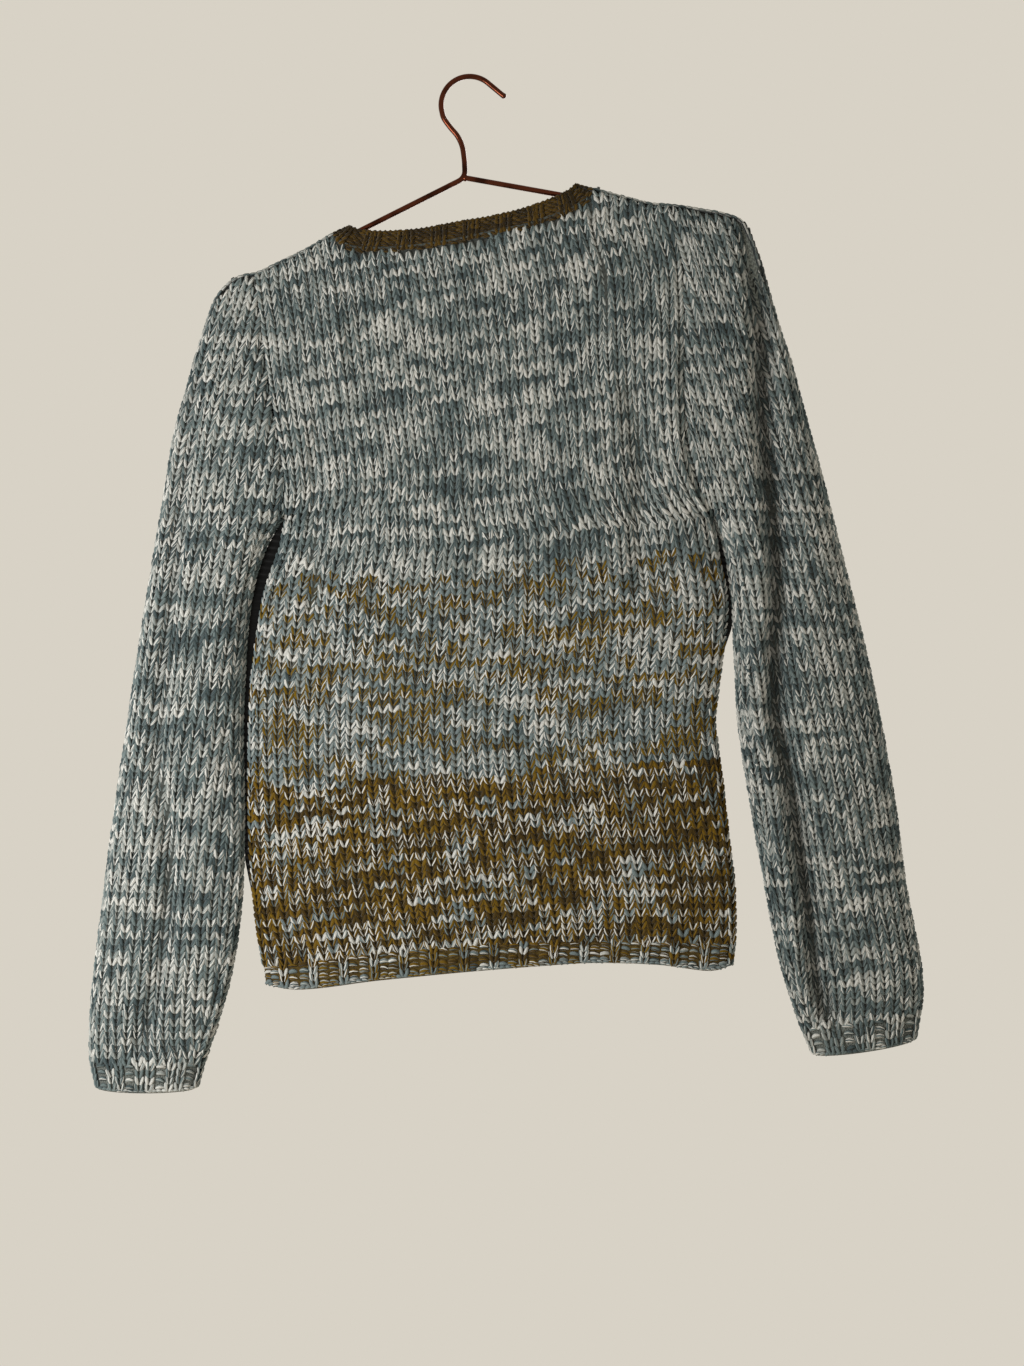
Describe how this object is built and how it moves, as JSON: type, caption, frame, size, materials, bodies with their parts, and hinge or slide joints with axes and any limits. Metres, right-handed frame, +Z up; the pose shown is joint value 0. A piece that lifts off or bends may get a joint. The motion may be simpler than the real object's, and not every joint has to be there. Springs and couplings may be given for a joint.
{
  "type": "knitted wool sweater on a wire hanger",
  "caption": "Hand-knitted marled wool sweater with long set-in sleeves, narrow ribbed edges and an ochre neckband, hung on a bent wire hanger.",
  "frame": {"origin": "underside of the top of the hanger's hook, where the hook rests on what holds it", "axes": "+Z up, +X to the right and -Y towards the viewer as one looks at the sweater's back; the hanger's wire lies in the plane y = 0"},
  "size_m": [0.6481, 0.04, 0.7936],
  "materials": {
    "knit_body": "chunky stockinette in grey and teal marl, shading into ochre below the chest",
    "knit_sleeve": "chunky stockinette in grey and teal marl",
    "knit_hem": "ribbing in ochre, teal and grey marl",
    "knit_neckband": "ribbing in plain olive ochre",
    "copper_wire": "polished copper plating"
  },
  "bodies": {
    "root": {"back_panel": "knit_body", "front_panel": "knit_body", "sleeve_left": "knit_sleeve", "sleeve_right": "knit_sleeve", "cuff_left": "knit_sleeve", "cuff_right": "knit_sleeve", "hem_band_back": "knit_hem", "hem_band_front": "knit_hem", "neckband": "knit_neckband", "hanger_frame": "copper_wire", "hanger_hook": "copper_wire"}
  },
  "joints": []
}
